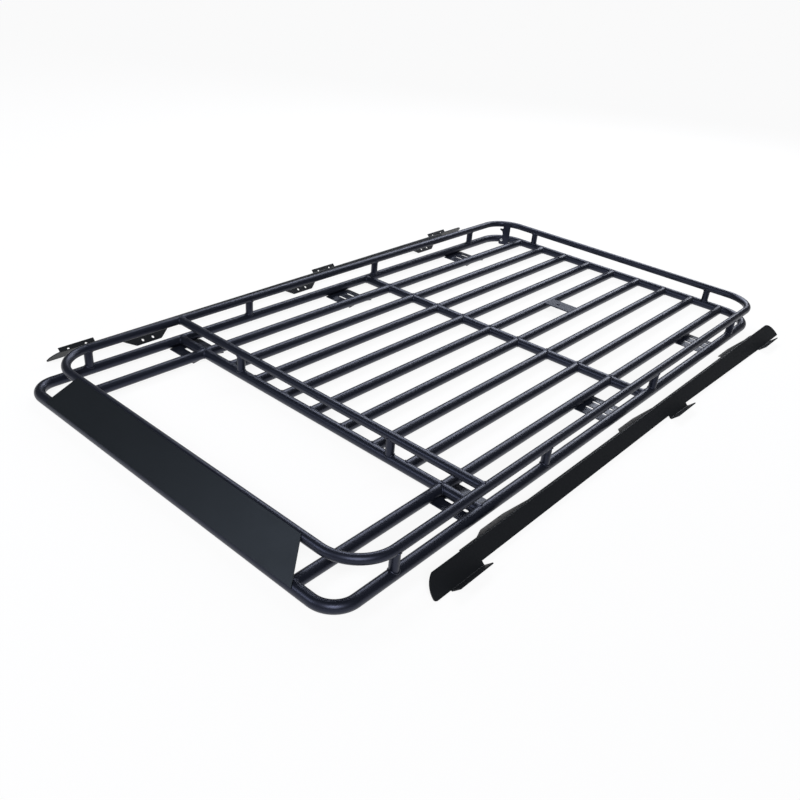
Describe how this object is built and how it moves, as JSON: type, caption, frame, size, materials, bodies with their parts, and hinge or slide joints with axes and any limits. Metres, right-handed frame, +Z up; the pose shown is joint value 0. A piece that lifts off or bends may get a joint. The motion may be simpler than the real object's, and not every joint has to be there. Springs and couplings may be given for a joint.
{
  "type": "steel roof basket with side rails",
  "caption": "Open tube roof basket with two stacked loops, lengthwise slats, a bulkhead, a sloping wind deflector and loose sheet side rails.",
  "frame": {"origin": "on the floor, under the middle of the whole part's box, side rails included, so the basket's own middle is 35 mm towards +X", "axes": "+Z up, -Y to the front where the wind deflector is, +X to the right as seen from the front"},
  "size_m": [1.4936, 2.214, 0.1005],
  "materials": {
    "tube_steel": "satin black powder coat",
    "plate_steel": "satin black powder coat",
    "bridge_steel": "satin grey paint",
    "deflector_sheet": "satin black powder coat",
    "rail_sheet": "satin black powder coat"
  },
  "bodies": {
    "root": {"lower_front_bow": "tube_steel", "lower_rear_bow": "tube_steel", "lower_left_rail": "tube_steel", "lower_right_rail": "tube_steel", "upper_front_bow": "tube_steel", "upper_rear_bow": "tube_steel", "upper_left_rail": "tube_steel", "upper_right_rail": "tube_steel", "bulkhead_lower_tube": "tube_steel", "bulkhead_upper_tube": "tube_steel", "middle_cross_tube": "tube_steel", "slat_1": "tube_steel", "slat_2": "tube_steel", "slat_3": "tube_steel", "slat_4": "tube_steel", "slat_5": "tube_steel", "slat_6": "tube_steel", "slat_7": "tube_steel", "slat_8": "tube_steel", "slat_9": "tube_steel", "left_post_1": "tube_steel", "left_post_2": "tube_steel", "left_post_3": "tube_steel", "left_post_4": "tube_steel", "right_post_1": "tube_steel", "right_post_2": "tube_steel", "right_post_3": "tube_steel", "right_post_4": "tube_steel", "rear_left_post": "tube_steel", "rear_right_post": "tube_steel", "bulkhead_left_post": "tube_steel", "bulkhead_right_post": "tube_steel", "left_mount_plate_1": "plate_steel", "left_mount_plate_2": "plate_steel", "left_mount_plate_3": "plate_steel", "right_mount_plate_1": "plate_steel", "right_mount_plate_2": "plate_steel", "right_mount_plate_3": "plate_steel", "bridge_plate": "bridge_steel", "corner_bracket": "tube_steel", "wind_deflector": "deflector_sheet", "left_side_rail": "rail_sheet", "right_side_rail": "rail_sheet"}
  },
  "joints": []
}
